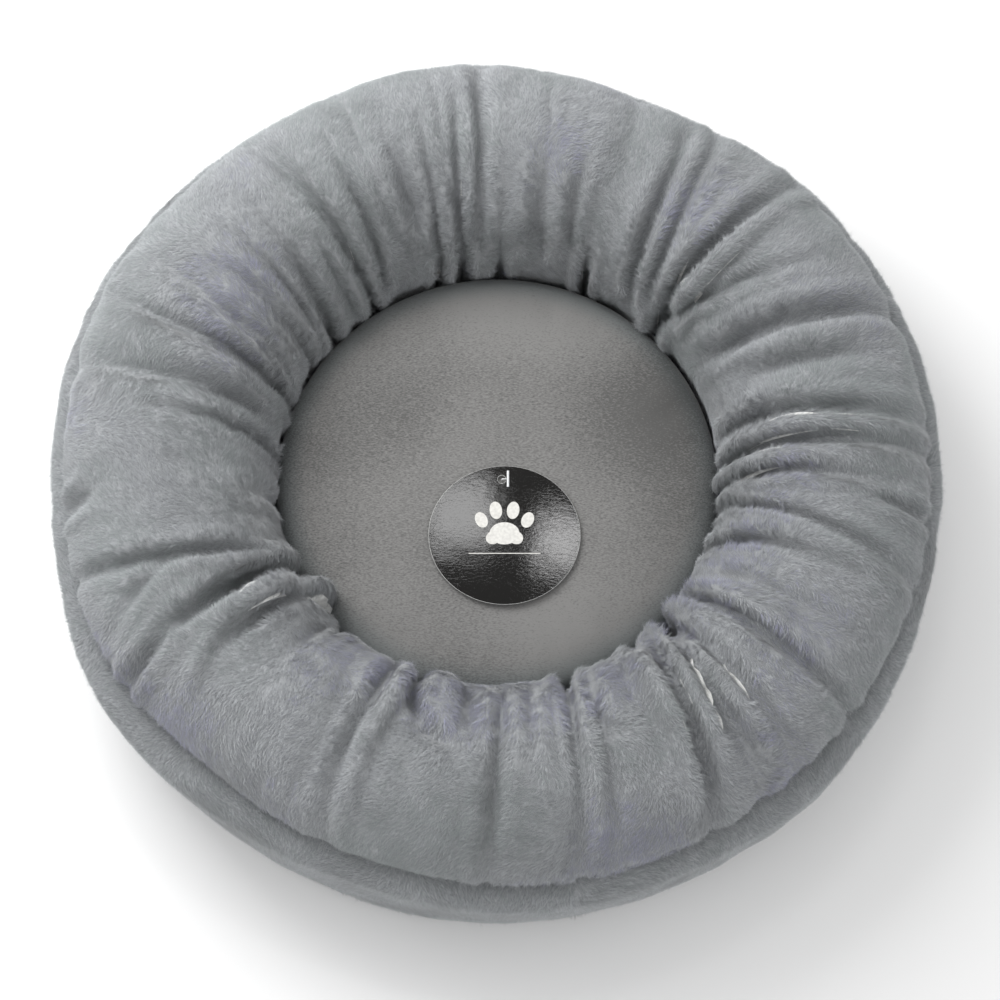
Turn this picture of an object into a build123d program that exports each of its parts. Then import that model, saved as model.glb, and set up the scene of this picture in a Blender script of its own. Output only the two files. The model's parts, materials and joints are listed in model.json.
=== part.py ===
from build123d import *
import os
from math import sqrt

# Round pet bed: a fibre-filled ring bolster in a gathered plush cover, sewn to a plush side band
# and a non-slip base, with a loose round cushion in the well and a hang tag on a plastic fastener.
# The origin is the centre of the underside, +Z is up and -Y is the front.

# Driving dimensions, in millimetres.
overall_radius = 250.0
overall_height = 140.0
crown_radius = 182.0
seam_radius = 238.0
seam_height = 93.0
well_radius = 128.0
well_wall_height = 62.0
base_radius = 236.0
plush_thickness = 3.0

base_panel_thickness = 3.0
wadding_thickness = 9.0
lining_thickness = 1.5

cushion_radius = 126.6
cushion_top = 66.0
cushion_flat_radius = 98.0
velvet_thickness = 2.0

tag_half_width = 42.5
tag_half_length = 40.5
tag_thickness = 0.6
tag_centre = (4.0, -37.0)
tag_hole_radius = 2.4
tag_hole_offset = (-1.5, 32.5)

bar_length = 9.5
bar_radius = 0.7
bar_offset = 3.5
filament_radius = 0.35
filament_bend = 1.0

# Small gaps that keep soft pieces from overlapping.
sewn_gap = 0.3
resting_gap = 0.3
moulding_gap = 0.05

thread_size = 0.8
elastic_radius = 2.0

# Levels and radii that follow from the driving dimensions.
wadding_top = base_panel_thickness + wadding_thickness
lining_top = wadding_top + lining_thickness
band_bulge_height = (seam_height + base_panel_thickness) / 2
cushion_bottom = lining_top + 0.5
cushion_seam_height = (cushion_top + cushion_bottom) / 2


def arc_radius(rise, run):
    """Radius of the arc that is level at its top and drops by rise over run."""
    return (rise**2 + run**2) / (2 * rise)


def arc_reach(centre, radius, height):
    """Outer radius at which a circle of the profile crosses a height."""
    return centre[0] + sqrt(radius**2 - (height - centre[1]) ** 2)


def level_arc(centre, radius, height):
    """Arc from the top of a circle of the profile, outward and down to a height."""
    top = (centre[0], centre[1] + radius)
    end = (arc_reach(centre, radius, height), height)
    middle_height = (top[1] + 3 * height) / 4 if height < centre[1] else (3 * top[1] + height) / 4
    return ThreePointArc(top, (arc_reach(centre, radius, middle_height), middle_height), end)


def ring(*edges):
    """Solid of revolution about Z of a closed outline drawn in radius and height."""
    outline = Curve() + list(edges)
    return revolve(make_face(Plane.XZ * outline), Axis.Z)


def square_ring(inner, low, size):
    """Thin ring of square section."""
    return disc(inner + size, low, low + size) - disc(inner, low, low + size)


def disc(radius, low, high):
    """Upright round disc centred on Z."""
    return Pos(0, 0, low) * Cylinder(radius, high - low, align=(Align.CENTER, Align.CENTER, Align.MIN))


# The bolster's dome is an arc down to the outer seam and a quarter of an ellipse down into the well.
outer_arc_radius = arc_radius(overall_height - seam_height, seam_radius - crown_radius)
outer_arc_centre = (crown_radius, overall_height - outer_arc_radius)
lip_width = crown_radius - well_radius
lip_height = overall_height - well_wall_height


def dome(depth, seam_level, wall_level):
    """Edges of the dome at a depth under the cover's face, from the outer seam to the well's wall."""
    outer = level_arc(outer_arc_centre, outer_arc_radius - depth, seam_level)
    centre = (crown_radius, well_wall_height)
    lip = EllipticalCenterArc(centre, lip_width - depth, lip_height - depth, start_angle=90, arc_size=90)
    wall_radius = well_radius + depth
    wall = Line((wall_radius, well_wall_height), (wall_radius, wall_level))
    return [outer, lip, wall]


def top_cover():
    """Gathered plush panel from the outer seam, over the crown and down the well's wall."""
    face = dome(0, seam_height, wadding_top)
    back = dome(plush_thickness, seam_height, wadding_top)
    seam_edge = Line(face[0] @ 1, back[0] @ 1)
    hem_edge = Line(face[2] @ 1, back[2] @ 1)
    return ring(*face, *back, seam_edge, hem_edge)


def band_arc(depth, low, high):
    """Bulged line of the side band at a depth under its face."""
    back_seam = arc_reach(outer_arc_centre, outer_arc_radius - plush_thickness, seam_height)
    seam_side = seam_radius - (seam_radius - back_seam) * depth / plush_thickness
    whole = ThreePointArc(
        (base_radius - depth, base_panel_thickness),
        (overall_radius - depth, band_bulge_height),
        (seam_side, seam_height),
    )
    if (low, high) == (base_panel_thickness, seam_height):
        return whole
    cutter = Rectangle(4 * overall_radius, high - low, align=(Align.CENTER, Align.MIN))
    return (whole & Pos(0, low) * cutter).edges()[0]


def side_band():
    """Plush wall from the base seam up to the outer seam."""
    face = band_arc(0, base_panel_thickness, seam_height)
    back = band_arc(plush_thickness, base_panel_thickness, seam_height)
    return ring(face, back, Line(face @ 0, back @ 0), Line(face @ 1, back @ 1))


def bolster_filling():
    """Polyester fibre ring that fills the tube, cut back over the gathering elastic."""
    depth = plush_thickness + sewn_gap
    low = wadding_top + sewn_gap
    high = seam_height
    outer, lip, wall = dome(depth, high, low)
    band = band_arc(depth, low, high)
    foot, head = sorted((band @ 0, band @ 1), key=lambda point: point.Y)
    seam_step = Line(outer @ 1, head)
    clear = 4 * elastic_radius
    wall_top = wall @ 0
    wall = Line(wall_top, (wall_top.X, low + clear))
    chamfer = Line(wall @ 1, (wall_top.X + clear, low))
    floor = Line(chamfer @ 1, foot)
    return ring(outer, lip, wall, chamfer, floor, band, seam_step)


def gathering_elastic():
    """Elastic cord in the hem that draws the cover in round the well."""
    centre = well_radius + plush_thickness + sewn_gap + elastic_radius
    height = wadding_top + sewn_gap + elastic_radius
    return Pos(0, 0, height) * Torus(centre, elastic_radius)


def cushion_shell(face_height, seam_side):
    """Half of the cushion's cover: a flat panel that rounds over to the seam at half height."""
    rise = abs(face_height - cushion_seam_height)
    radius = arc_radius(rise, cushion_radius - cushion_flat_radius)
    centre = (cushion_flat_radius, cushion_seam_height + rise - radius)
    back_radius = radius - velvet_thickness
    back_height = cushion_seam_height + rise
    edge = level_arc(centre, radius, cushion_seam_height)
    back_edge = level_arc(centre, back_radius, cushion_seam_height)
    top = Line((0, back_height), edge @ 0)
    back_top = Line((0, back_height - velvet_thickness), back_edge @ 0)
    middle = Line((0, back_height), (0, back_height - velvet_thickness))
    seam = Line(edge @ 1, back_edge @ 1)
    panel = ring(top, edge, seam, back_edge, back_top, middle)
    if seam_side > 0:
        return panel
    return panel.mirror(Plane.XY.offset(cushion_seam_height))


def tag_hole_place():
    """Where the fastener goes through the tag and into the cushion."""
    return tag_centre[0] + tag_hole_offset[0], tag_centre[1] + tag_hole_offset[1]


def cushion_top_panel():
    """Short-pile panel with the needle hole that the fastener left."""
    x, y = tag_hole_place()
    needle = Pos(x, y, cushion_top) * Cylinder(2 * filament_radius, 4 * velvet_thickness)
    return cushion_shell(cushion_top, 1) - needle


def cushion_bottom_panel():
    """Plain underside of the cushion."""
    return cushion_shell(cushion_bottom, -1)


def cushion_filling():
    """Fibre pad inside the cushion's cover, with room for the fastener's anchor."""
    depth = velvet_thickness + sewn_gap
    rise = cushion_top - cushion_seam_height
    radius = arc_radius(rise, cushion_radius - cushion_flat_radius)
    centre = (cushion_flat_radius, cushion_top - radius)
    edge = level_arc(centre, radius - depth, cushion_seam_height)
    top = Line((0, cushion_top - depth), edge @ 0)
    middle = Line((0, cushion_top - depth), (0, cushion_seam_height))
    half = ring(top, edge, Line(edge @ 1, (0, cushion_seam_height)), middle)
    pad = half + half.mirror(Plane.XY.offset(cushion_seam_height))
    x, y = tag_hole_place()
    roof = cushion_top - velvet_thickness
    return pad - Pos(x, y, 0) * disc(bar_length / 2 + 1, roof - 4 * bar_radius, roof)


def tag_level():
    """Height of the tag's lower face."""
    return cushion_top + resting_gap


def hang_tag():
    """Rounded glossy card with a punched hole near its top edge."""
    x, y = tag_hole_place()
    centre_height = tag_level() + tag_thickness / 2
    outline = Pos(*tag_centre, tag_level()) * Ellipse(tag_half_width, tag_half_length)
    card = extrude(outline, tag_thickness)
    return card - Pos(x, y, centre_height) * Cylinder(tag_hole_radius, 2 * tag_thickness)


def bar_height():
    """Height of the middle of the bar that lies on the tag."""
    return tag_level() + tag_thickness + moulding_gap + bar_radius


def tag_bar():
    """The fastener's outer bar, lying on the tag beside the hole."""
    x, y = tag_hole_place()
    return Pos(x + bar_offset, y, bar_height()) * Rot(90, 0, 0) * Cylinder(bar_radius, bar_length)


def tag_anchor_bar():
    """The fastener's inner bar, held under the cushion's top panel."""
    x, y = tag_hole_place()
    height = cushion_top - velvet_thickness - 2 * bar_radius
    return Pos(x, y, height) * Rot(0, 90, 0) * Cylinder(bar_radius, bar_length)


def tag_filament():
    """Thin plastic thread from the anchor bar up through the tag's hole and across to the outer bar."""
    x, y = tag_hole_place()
    foot = (x, y, cushion_top - velvet_thickness - bar_radius + moulding_gap)
    corner = (x, y, bar_height())
    end = (x + bar_offset - bar_radius - moulding_gap, y, bar_height())
    route = FilletPolyline(foot, corner, end, radius=filament_bend)
    section = Plane(route @ 0, z_dir=route % 0) * Circle(filament_radius)
    return sweep(section, path=route)


def outer_seam_stitching():
    """Lockstitch thread along the seam of the top cover and the side band."""
    return square_ring(seam_radius + thread_size / 2, seam_height + 0.1, thread_size)


def base_seam_stitching():
    """Lockstitch thread along the seam of the side band and the base."""
    return square_ring(base_radius + 0.6, base_panel_thickness - thread_size / 2, thread_size)


def cushion_seam_stitching():
    """Thread along the cushion's edge seam."""
    return square_ring(cushion_radius + 0.2, cushion_seam_height - thread_size / 2, thread_size)


parts = {
    "base_panel": disc(base_radius, 0, base_panel_thickness),
    "base_wadding": disc(base_radius - 4, base_panel_thickness, wadding_top),
    "well_lining": disc(well_radius - sewn_gap, wadding_top, lining_top),
    "side_band": side_band(),
    "top_cover": top_cover(),
    "bolster_filling": bolster_filling(),
    "gathering_elastic": gathering_elastic(),
    "outer_seam_stitching": outer_seam_stitching(),
    "base_seam_stitching": base_seam_stitching(),
    "cushion_top_panel": cushion_top_panel(),
    "cushion_bottom_panel": cushion_bottom_panel(),
    "cushion_filling": cushion_filling(),
    "cushion_seam_stitching": cushion_seam_stitching(),
    "tag_anchor_bar": tag_anchor_bar(),
    "hang_tag": hang_tag(),
    "tag_bar": tag_bar(),
    "tag_filament": tag_filament(),
}

os.makedirs("parts", exist_ok=True)
for name, shape in parts.items():
    export_step(shape, f"parts/{name}.step")
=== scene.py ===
import json
import math
import random

import bmesh
import bpy
import numpy as np
from bpy.props import FloatProperty, FloatVectorProperty, IntProperty, PointerProperty
from mathutils import Matrix, Vector, noise

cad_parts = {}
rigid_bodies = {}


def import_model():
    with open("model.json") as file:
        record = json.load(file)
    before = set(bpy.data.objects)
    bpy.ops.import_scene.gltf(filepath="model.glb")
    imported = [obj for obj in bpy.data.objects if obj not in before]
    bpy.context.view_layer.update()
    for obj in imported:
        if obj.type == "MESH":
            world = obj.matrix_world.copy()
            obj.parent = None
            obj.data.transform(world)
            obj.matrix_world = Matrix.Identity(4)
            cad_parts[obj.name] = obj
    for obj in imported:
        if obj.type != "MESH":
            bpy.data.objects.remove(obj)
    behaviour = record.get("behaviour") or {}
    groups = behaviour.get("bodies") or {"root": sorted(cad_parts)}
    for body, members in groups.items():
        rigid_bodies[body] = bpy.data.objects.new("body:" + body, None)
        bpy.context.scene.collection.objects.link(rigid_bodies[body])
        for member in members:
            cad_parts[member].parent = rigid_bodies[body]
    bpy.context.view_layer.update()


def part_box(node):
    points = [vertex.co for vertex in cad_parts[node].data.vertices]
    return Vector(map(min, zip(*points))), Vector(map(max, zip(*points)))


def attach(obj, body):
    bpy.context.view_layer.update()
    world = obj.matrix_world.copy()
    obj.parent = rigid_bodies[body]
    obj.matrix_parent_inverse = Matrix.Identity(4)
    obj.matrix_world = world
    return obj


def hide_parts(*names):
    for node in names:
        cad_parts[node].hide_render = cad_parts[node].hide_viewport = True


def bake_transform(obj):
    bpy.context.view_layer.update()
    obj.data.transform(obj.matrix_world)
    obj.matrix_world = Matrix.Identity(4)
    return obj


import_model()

bl_info = {
    "name": "Round Plush Pet Bed",
    "version": (1, 0, 0),
    "blender": (4, 5, 0),
    "location": "View3D > Sidebar > Pet Bed",
    "description": "Dresses the packed pet bed in gathered plush, velvet, stitching and a hang tag",
    "category": "Add Mesh",
}

MM = 0.001

# Levels and radii of the bed, read from the frame.
BAND_LOW, BAND_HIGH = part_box("side_band")
COVER_LOW, COVER_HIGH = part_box("top_cover")
LINING_LOW, LINING_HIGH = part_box("well_lining")
PAD_LOW, PAD_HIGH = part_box("cushion_top_panel")
PAD_BASE_LOW, PAD_BASE_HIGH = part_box("cushion_bottom_panel")
TAG_LOW, TAG_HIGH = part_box("hang_tag")
BAR_LOW, BAR_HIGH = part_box("tag_bar")
THREAD_LOW, THREAD_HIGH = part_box("tag_filament")

BED_RADIUS = BAND_HIGH.x
SEAM_RADIUS = COVER_HIGH.x
SEAM_HEIGHT = BAND_HIGH.z
BASE_HEIGHT = BAND_LOW.z
CROWN_HEIGHT = COVER_HIGH.z
HEM_HEIGHT = COVER_LOW.z
WELL_RADIUS = LINING_HIGH.x
PAD_RADIUS = PAD_HIGH.x
PAD_TOP = PAD_HIGH.z
PAD_SEAM = PAD_LOW.z
PAD_BASE = PAD_BASE_LOW.z

# Creases that the gathering makes in the bolster's cover. Each row is the angle and the share of
# the way from hem to outer seam at both ends, then the depth and the width in millimetres.
CREASES = [
    # left
    (178, 0.0, 175, 0.66, 6.0, 3.0),
    (170, 0.40, 168, 0.95, 5.5, 5.5),
    (165, 0.30, 157, 0.88, 3.5, 3.0),
    (162, 0.0, 159, 0.76, 8.0, 4.0),
    (160, 0.22, 150, 0.80, 4.5, 3.5),
    (158, 0.20, 153, 0.52, 4.0, 2.5),
    (149, 0.0, 147, 0.60, 3.0, 3.0),
    (142, 0.30, 141, 0.78, 5.0, 4.0),
    (139, 0.0, 137, 0.75, 7.0, 3.5),
    (131, 0.24, 132, 0.55, 2.5, 3.0),
    (124, 0.0, 128, 0.92, 7.0, 3.5),
    (121, 0.22, 118, 0.74, 6.5, 3.5),
    (114, 0.62, 113, 1.00, 3.0, 5.0),
    # far side
    (108, 0.42, 110, 0.76, 6.0, 4.5),
    (106, 0.0, 103, 0.70, 5.5, 3.0),
    (101, 0.50, 99, 0.90, 2.5, 2.2),
    (100, 0.0, 96, 0.90, 6.0, 4.0),
    (94, 0.30, 92, 1.00, 5.5, 4.5),
    (90, 0.0, 89, 0.44, 5.0, 3.0),
    (79, 0.30, 80, 0.64, 3.5, 4.5),
    (81, 0.68, 82, 0.86, 2.0, 2.2),
    (72, 0.36, 73, 0.62, 3.0, 3.0),
    (67, 0.0, 67, 0.38, 9.0, 3.0),
    (65, 0.58, 70, 0.98, 3.0, 8.0),
    (53, 0.24, 60, 0.88, 6.0, 3.5),
    (47, 0.24, 58, 1.00, 5.0, 3.5),
    (44, 0.0, 43, 0.93, 11.0, 4.0),
    (40, 0.26, 38, 0.60, 5.0, 3.0),
    (43, 0.24, 29, 0.78, 4.5, 3.0),
    # right
    (25, 0.36, 19, 0.97, 8.5, 5.0),
    (15, 0.50, 13, 0.82, 4.5, 4.0),
    (8, 0.28, 3, 0.95, 8.0, 4.0),
    (1, 0.0, -1, 0.97, 9.0, 3.5),
    (-5, 0.0, -7, 0.82, 8.5, 3.0),
    (-9, 0.76, -10, 1.00, 6.5, 3.0),
    (-12, 0.26, -20, 1.00, 6.0, 3.0),
    (-23, 0.0, -22, 0.78, 8.0, 3.0),
    (-31, 0.40, -30, 0.84, 3.0, 4.0),
    (-38, 0.26, -38, 1.00, 8.0, 3.5),
    (-43, 0.0, -49, 0.95, 9.5, 4.0),
    (-47, 0.28, -55, 0.97, 8.5, 4.5),
    (-51, 0.30, -63, 1.00, 10.0, 3.5),
    # near side
    (-53, 0.0, -56, 0.46, 4.0, 3.5),
    (-64, 0.48, -63, 0.80, 3.0, 7.0),
    (-70, 0.38, -74, 0.94, 3.5, 4.0),
    (-71, 0.0, -80, 1.00, 6.0, 4.0),
    (-79, 0.46, -81, 0.84, 2.5, 3.0),
    (-83, 0.40, -84, 0.62, 2.5, 6.0),
    (-89, 0.40, -91, 1.00, 4.5, 4.0),
    (-97, 0.36, -95, 0.60, 4.5, 5.0),
    (-107, 0.0, -109, 0.46, 7.0, 4.5),
    (-109, 0.46, -104, 0.58, 6.0, 3.5),
    (-104, 0.58, -97, 0.62, 5.0, 4.5),
    (-110, 0.58, -109, 0.88, 2.5, 5.0),
    (-115, 0.36, -113, 0.97, 5.5, 4.5),
    (-119, 0.50, -117, 0.88, 3.0, 6.0),
    (-132, 0.0, -131, 0.40, 4.0, 4.0),
    (-134, 0.32, -132, 0.62, 3.0, 6.0),
    # the pleat that rolls over its neighbour
    (-149, 0.0, -150, 0.60, 11.0, 6.0),
    (-151, 0.36, -147, 0.78, 9.0, 4.0),
    (-147, 0.78, -146, 1.00, 7.0, 3.5),
    (-138, 0.0, -143, 0.44, 7.5, 3.5),
    (-143, 0.44, -140, 0.68, 6.0, 3.5),
    (-155, 0.40, -163, 1.00, 6.0, 3.5),
    (-158, 0.66, -152, 0.90, 3.5, 3.5),
    (-172, 0.84, -171, 1.00, 5.0, 4.0),
    (-172, 0.0, -170, 0.45, 3.5, 4.0),
]

# Rolls that stand proud of the cover beside the creases, in the same form.
RIDGES = [
    (-141, 0.10, -146, 0.40, 6.5, 4.5),
    (-146, 0.40, -144, 0.62, 6.0, 4.0),
    (-144, 0.62, -138, 0.84, 3.0, 4.5),
    (-111, 0.34, -112, 0.80, 3.5, 5.5),
    (-102, 0.34, -103, 0.50, 4.0, 11.0),
    (-58, 0.40, -63, 0.90, 3.0, 6.0),
    (-44, 0.34, -51, 0.80, 3.0, 5.0),
    (41, 0.34, 40, 0.80, 3.0, 5.0),
    (167, 0.36, 163, 0.80, 2.5, 6.0),
    (97, 0.35, 94, 0.80, 2.5, 4.0),
]

# Where the round plan swells or flattens: the angle, the millimetres and the reach in degrees.
PLAN_SWELLS = [(65, -7.0, 16), (100, 2.0, 14), (158, 4.0, 20), (211, 5.0, 14), (250, -3.0, 16), (314, 4.0, 13)]


# Where the outer seam is drawn in further than the band below it, in the same form.
SEAM_PULLS = [(222, -7.0, 20), (312, -4.5, 16), (265, -2.0, 20)]


class PetBedSizes(bpy.types.PropertyGroup):
    """Sizes of the soft parts."""

    pile_length: FloatProperty(
        name="Pile length",
        description="Length of the long plush fibres",
        default=4.8 * MM,
        unit="LENGTH",
    )
    pile_density: FloatProperty(
        name="Tufts per square metre",
        description="How closely the plush tufts stand",
        default=235000.0,
    )
    pile_depth: FloatProperty(
        name="Pile depth",
        description="Distance from the cover's weave to the face of its pile",
        default=3.0 * MM,
        unit="LENGTH",
    )
    crease_depth: FloatProperty(
        name="Crease depth",
        description="How deep the gathered creases are, as a share of the usual depth",
        default=1.0,
        subtype="FACTOR",
    )
    steps: IntProperty(
        name="Steps",
        description="Number of steps round the bed in the covers' meshes before they are subdivided",
        default=360,
    )


class PetBedColours(bpy.types.PropertyGroup):
    """Colours of the fabrics and the tag."""

    plush: FloatVectorProperty(
        name="Plush",
        description="Blue-grey of the long plush",
        default=(0.355, 0.368, 0.382),
        size=3,
        subtype="COLOR",
        min=0.0,
        max=1.0,
    )
    velvet: FloatVectorProperty(
        name="Velvet",
        description="Grey of the cushion's short pile",
        default=(0.158, 0.156, 0.152),
        size=3,
        subtype="COLOR",
        min=0.0,
        max=1.0,
    )
    card: FloatVectorProperty(
        name="Card",
        description="Black of the tag's laminated card",
        default=(0.006, 0.0055, 0.005),
        size=3,
        subtype="COLOR",
        min=0.0,
        max=1.0,
    )


def sizes():
    """The sizes in use."""
    return bpy.context.scene.pet_bed_sizes


def colours():
    """The colours in use."""
    return bpy.context.scene.pet_bed_colours


# Materials


def new_material(name, colour, roughness, **more):
    """A material with its constant values on the shader's own sockets."""
    material = bpy.data.materials.new(name)
    material.use_nodes = True
    shader = material.node_tree.nodes["Principled BSDF"]
    shader.inputs["Base Color"].default_value = (*colour, 1.0)
    shader.inputs["Roughness"].default_value = roughness
    for socket, value in more.items():
        shader.inputs[socket.replace("_", " ")].default_value = value
    return material


def tinted(colour, factor, shift=(0.0, 0.0, 0.0)):
    """A colour made lighter or darker, and shifted a little."""
    return tuple(min(1.0, c * factor + s) for c, s in zip(colour, shift))


def pile_materials():
    """Fibres of one dye lot vary a little in tone, from a greenish grey to a faint lavender; a darker and a lighter
    copy of the plush are painted shade and painted highlight.
    """
    base = colours().plush
    tones = {
        "plush_fibre_green": tinted(base, 0.94, (-0.010, 0.006, -0.006)),
        "plush_fibre_light": tinted(base, 1.12),
        "plush_fibre_middle": tinted(base, 1.0),
        "plush_fibre_blue": tinted(base, 0.88, (0.0, 0.0, 0.012)),
        "plush_fibre_lavender": tinted(base, 0.92, (0.004, -0.004, 0.090)),
        # A darker copy of the plush is painted shade and a lighter copy is painted highlight, for a share of each
        # tuft's fibres.
        "plush_fibre_shade": tinted(base, 0.74),
        "plush_fibre_tip": tinted(base, 1.30),
    }
    return [
        new_material(name, tone, 0.75, Sheen_Weight=0.35, Sheen_Roughness=0.4, Specular_IOR_Level=0.25)
        for name, tone in tones.items()
    ]


def add_node(material, kind, **values):
    """A node in a material's tree, with its settings and input values."""
    node = material.node_tree.nodes.new(kind)
    for name, value in values.items():
        if name in node.inputs:
            node.inputs[name].default_value = value
        else:
            setattr(node, name, value)
    return node


def plush_weave():
    """The ground of the plush: the same grey in shade, broken up by the roots of the pile."""
    material = new_material("plush_ground", colours().plush, 0.9, Sheen_Weight=0.3, Sheen_Roughness=0.5)
    nodes, links = material.node_tree.nodes, material.node_tree.links
    shader = nodes["Principled BSDF"]
    place = add_node(material, "ShaderNodeTexCoord")
    patches = add_node(material, "ShaderNodeTexNoise", Scale=22.0, Detail=3.0)
    roots = add_node(material, "ShaderNodeTexNoise", Scale=900.0, Detail=2.0)
    mix = add_node(material, "ShaderNodeMath", operation="MULTIPLY_ADD")
    mix.inputs[1].default_value = 0.5
    ramp = add_node(material, "ShaderNodeValToRGB")
    ramp.color_ramp.elements[0].position = 0.3
    ramp.color_ramp.elements[0].color = (*tinted(colours().plush, 0.45), 1)
    ramp.color_ramp.elements[1].position = 1.1
    ramp.color_ramp.elements[1].color = (*tinted(colours().plush, 0.85), 1)
    bump = add_node(material, "ShaderNodeBump", Strength=0.6, Distance=0.6 * MM)
    links.new(place.outputs["Object"], patches.inputs["Vector"])
    links.new(place.outputs["Object"], roots.inputs["Vector"])
    links.new(roots.outputs["Fac"], mix.inputs[0])
    links.new(patches.outputs["Fac"], mix.inputs[2])
    links.new(mix.outputs[0], ramp.inputs["Fac"])
    links.new(ramp.outputs["Color"], shader.inputs["Base Color"])
    links.new(roots.outputs["Fac"], bump.inputs["Height"])
    links.new(bump.outputs["Normal"], shader.inputs["Normal"])
    return material


def velvet():
    """Short pile with a fine combed grain, warm grey inside, with painted sheen lighter towards the left and the
    near side and painted shade darker where it turns down at the rim.
    """
    base = colours().velvet
    material = new_material("cushion_velvet", base, 0.8, Sheen_Weight=0.3, Sheen_Roughness=0.4)
    links = material.node_tree.links
    shader = material.node_tree.nodes["Principled BSDF"]
    place = add_node(material, "ShaderNodeTexCoord")
    lay = add_node(material, "ShaderNodeMapping")
    lay.inputs["Scale"].default_value = (0.4, 1.0, 1.0)
    lay.inputs["Rotation"].default_value = (0.0, 0.0, 0.5)
    brushed = add_node(material, "ShaderNodeTexNoise", Scale=7.0, Detail=1.5)
    grain = add_node(material, "ShaderNodeTexNoise", Scale=1500.0, Detail=2.0, Roughness=0.6)
    # Painted sheen: a fixed gradient across the cushion, lighter towards the left and the near side, added to the
    # grain.
    nap = add_node(material, "ShaderNodeVectorMath", operation="DOT_PRODUCT")
    nap.inputs[1].default_value = (-0.75, -0.25, 0.0)
    lit = add_node(material, "ShaderNodeMath", operation="ADD")
    both = add_node(material, "ShaderNodeMath", operation="MULTIPLY_ADD")
    both.inputs[1].default_value = 0.8
    ramp = add_node(material, "ShaderNodeValToRGB")
    ramp.color_ramp.elements[0].position = 0.70
    ramp.color_ramp.elements[0].color = (*tinted(base, 0.62), 1)
    ramp.color_ramp.elements[1].position = 1.08
    ramp.color_ramp.elements[1].color = (*tinted(base, 1.42), 1)
    # Painted shade: the colour darkens and cools over the last 20 mm before the rim, where the cushion turns down
    # under the bolster.
    flat = add_node(material, "ShaderNodeVectorMath", operation="MULTIPLY")
    flat.inputs[1].default_value = (1, 1, 0)
    reach = add_node(material, "ShaderNodeVectorMath", operation="LENGTH")
    edge = add_node(material, "ShaderNodeMapRange", interpolation_type="SMOOTHSTEP")
    edge.inputs["From Min"].default_value = PAD_RADIUS - 20 * MM
    edge.inputs["From Max"].default_value = PAD_RADIUS - 4 * MM
    painted_rim_shade = add_node(material, "ShaderNodeMix", data_type="RGBA", blend_type="MULTIPLY")
    painted_rim_shade.inputs[7].default_value = (0.84, 0.91, 0.935, 1)
    bump = add_node(material, "ShaderNodeBump", Strength=0.35, Distance=0.5 * MM)
    links.new(place.outputs["Object"], lay.inputs["Vector"])
    links.new(place.outputs["Object"], brushed.inputs["Vector"])
    links.new(lay.outputs["Vector"], grain.inputs["Vector"])
    links.new(grain.outputs["Fac"], both.inputs[0])
    links.new(brushed.outputs["Fac"], both.inputs[2])
    links.new(place.outputs["Object"], nap.inputs[0])
    links.new(nap.outputs["Value"], lit.inputs[0])
    links.new(both.outputs[0], lit.inputs[1])
    links.new(lit.outputs[0], ramp.inputs["Fac"])
    links.new(place.outputs["Object"], flat.inputs[0])
    links.new(flat.outputs[0], reach.inputs[0])
    links.new(reach.outputs["Value"], edge.inputs["Value"])
    links.new(edge.outputs[0], painted_rim_shade.inputs[0])
    links.new(ramp.outputs["Color"], painted_rim_shade.inputs[6])
    links.new(painted_rim_shade.outputs[2], shader.inputs["Base Color"])
    links.new(grain.outputs["Fac"], bump.inputs["Height"])
    links.new(bump.outputs["Normal"], shader.inputs["Normal"])
    return material


def woven(name, dark, light, threads, depth):
    """A plain weave: two sets of threads, crossed, with a little unevenness."""
    material = new_material(name, light, 0.85, Sheen_Weight=0.1)
    links = material.node_tree.links
    shader = material.node_tree.nodes["Principled BSDF"]
    place = add_node(material, "ShaderNodeTexCoord")
    warp = add_node(material, "ShaderNodeTexWave", Scale=threads, Distortion=0.4)
    weft = add_node(material, "ShaderNodeTexWave", bands_direction="Y", Scale=threads, Distortion=0.4)
    cross = add_node(material, "ShaderNodeMath", operation="MAXIMUM")
    ramp = add_node(material, "ShaderNodeValToRGB")
    ramp.color_ramp.elements[0].color = (*dark, 1)
    ramp.color_ramp.elements[1].color = (*light, 1)
    bump = add_node(material, "ShaderNodeBump", Strength=0.5, Distance=depth)
    for wave in (warp, weft):
        links.new(place.outputs["Object"], wave.inputs["Vector"])
    links.new(warp.outputs["Fac"], cross.inputs[0])
    links.new(weft.outputs["Fac"], cross.inputs[1])
    links.new(cross.outputs[0], ramp.inputs["Fac"])
    links.new(cross.outputs[0], bump.inputs["Height"])
    links.new(ramp.outputs["Color"], shader.inputs["Base Color"])
    links.new(bump.outputs["Normal"], shader.inputs["Normal"])
    return material


def lining():
    """Plain grey lining cloth."""
    return woven("lining_cloth", (0.08, 0.085, 0.09), (0.17, 0.175, 0.18), 400.0, 0.2 * MM)


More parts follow.
